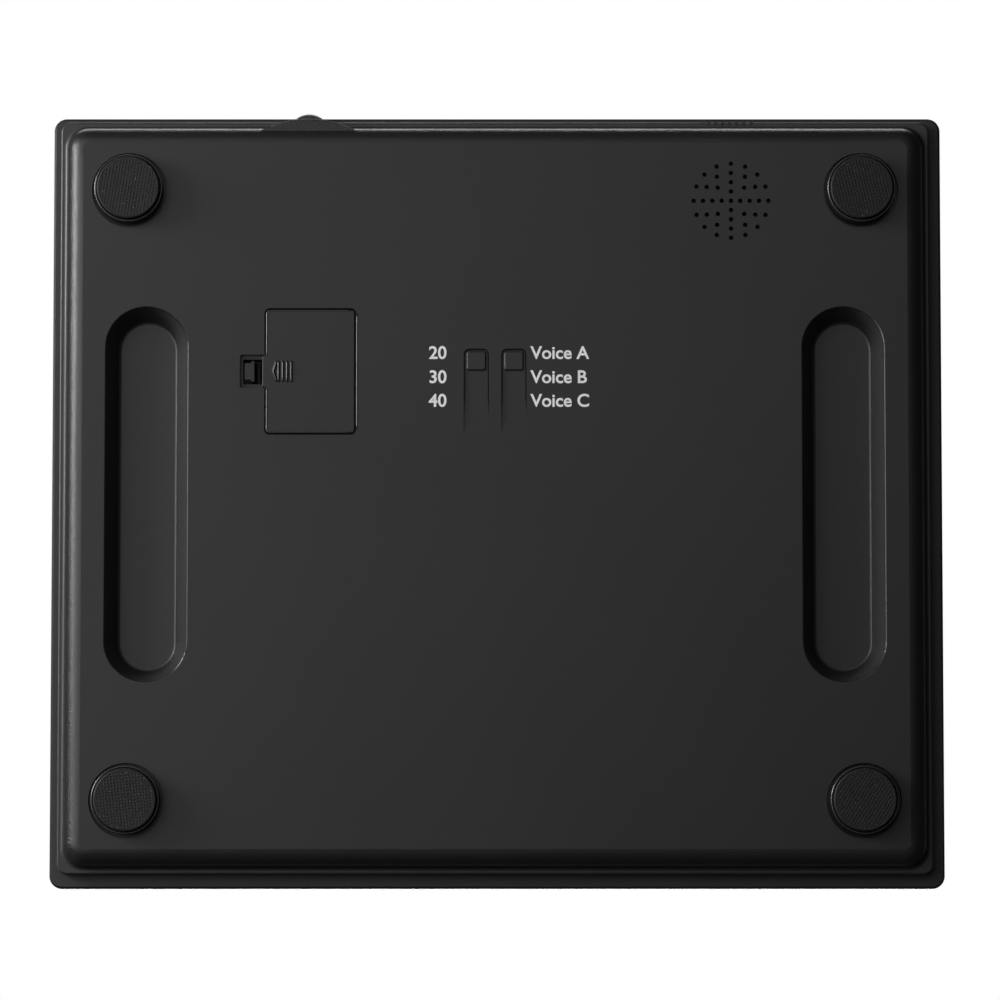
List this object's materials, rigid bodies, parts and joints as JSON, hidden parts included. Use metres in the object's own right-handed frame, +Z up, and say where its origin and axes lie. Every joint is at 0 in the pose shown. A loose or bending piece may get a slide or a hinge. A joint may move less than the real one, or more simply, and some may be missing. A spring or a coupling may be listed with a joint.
{
  "type": "digital bathroom scale",
  "caption": "Flat square-cornered glass platform on a black moulded base with hand grips, load-cell feet, battery door, slide switches, speaker grille and volume wheel.",
  "frame": {"origin": "on the floor under the middle of the base tray, between the four feet", "axes": "+Z up through the platform, +Y towards the display and volume wheel, +X to the right of someone standing on it"},
  "size_m": [0.35, 0.3051, 0.032],
  "materials": {
    "glass": "clear tempered plate, polished faces and ground edges",
    "black_print": "black ceramic print on the glass's underside",
    "foam_tape": "closed-cell foam bonding tape",
    "tray_plastic": "black moulded plastic with a fine satin texture",
    "door_plastic": "black moulded plastic with a fine satin texture",
    "switch_plastic": "black moulded plastic, smoother than the tray",
    "wheel_plastic": "black knurled plastic",
    "cup_plastic": "black moulded plastic",
    "pad_rubber": "black rubber with a fine square grid",
    "cell_steel": "stamped spring steel with a black oxide coat",
    "carrier_plastic": "black moulded plastic",
    "gauge_film": "amber film with a white sealant",
    "screw_steel": "zinc-plated steel",
    "board": "green solder mask on glass-fibre board",
    "chip": "black epoxy",
    "lcd": "grey-green liquid crystal panel",
    "holder_plastic": "black moulded plastic",
    "diffuser": "white light-guide plastic",
    "battery_jacket": "printed shrink sleeve on a steel can",
    "contact_metal": "nickel-plated spring bronze",
    "gasket_foam": "foam ring",
    "speaker_steel": "pressed plated steel",
    "speaker_paper": "black pressed paper",
    "magnet": "sintered ferrite",
    "lead_sheath": "soft grey-black sheath"
  },
  "bodies": {
    "scale_body": {"platform_glass": "glass", "back_print": "black_print", "bonding_tape": "foam_tape", "base_tray": "tray_plastic", "battery_cell_1": "battery_jacket", "battery_cell_2": "battery_jacket", "battery_cell_3": "battery_jacket", "battery_end_plates": "contact_metal", "battery_leaf_springs": "contact_metal", "strain_gauges": "gauge_film", "carrier_screws": "screw_steel", "main_board": "board", "board_chips": "chip", "board_screws": "screw_steel", "lcd_holder": "holder_plastic", "lcd_panel": "lcd", "backlight_plate": "diffuser", "speaker_gasket": "gasket_foam", "speaker_frame": "speaker_steel", "speaker_magnet": "magnet", "speaker_cone": "speaker_paper", "volume_pot": "carrier_plastic", "switch_board": "board", "switch_board_screws": "screw_steel", "speaker_lead": "lead_sheath", "battery_lead": "lead_sheath", "volume_lead": "lead_sheath", "switch_lead": "lead_sheath", "foot_cup_front_left": "cup_plastic", "foot_pad_front_left": "pad_rubber", "load_cell_front_left": "cell_steel", "load_cell_carrier_front_left": "carrier_plastic", "load_cell_lead_front_left": "lead_sheath", "foot_cup_front_right": "cup_plastic", "foot_pad_front_right": "pad_rubber", "load_cell_front_right": "cell_steel", "load_cell_carrier_front_right": "carrier_plastic", "load_cell_lead_front_right": "lead_sheath", "foot_cup_rear_left": "cup_plastic", "foot_pad_rear_left": "pad_rubber", "load_cell_rear_left": "cell_steel", "load_cell_carrier_rear_left": "carrier_plastic", "load_cell_lead_rear_left": "lead_sheath", "foot_cup_rear_right": "cup_plastic", "foot_pad_rear_right": "pad_rubber", "load_cell_rear_right": "cell_steel", "load_cell_carrier_rear_right": "carrier_plastic", "load_cell_lead_rear_right": "lead_sheath"},
    "battery_door": {"battery_door": "door_plastic"},
    "volume_wheel": {"volume_wheel": "wheel_plastic"},
    "unit_switch": {"unit_switch_slider": "switch_plastic", "unit_switch_wiper": "contact_metal"},
    "language_switch": {"language_switch_slider": "switch_plastic", "language_switch_wiper": "contact_metal"}
  },
  "joints": [
    {"name": "battery_door_hinge", "type": "hinge", "parent": "scale_body", "child": "battery_door", "pos_m": [0.05477, 0.0481, 0.0085], "axis": [0, 1, 0], "range_deg": [0, 75]},
    {"name": "volume_wheel_turn", "type": "hinge", "parent": "scale_body", "child": "volume_wheel", "pos_m": [0.0733, 0.1431, 0.0224], "axis": [0, 0, 1], "range_deg": [-140, 140]},
    {"name": "unit_switch_slide", "type": "slide", "parent": "scale_body", "child": "unit_switch", "axis": [0, -1, 0], "range_m": [0, 0.0183]},
    {"name": "language_switch_slide", "type": "slide", "parent": "scale_body", "child": "language_switch", "axis": [0, -1, 0], "range_m": [0, 0.0183]}
  ]
}
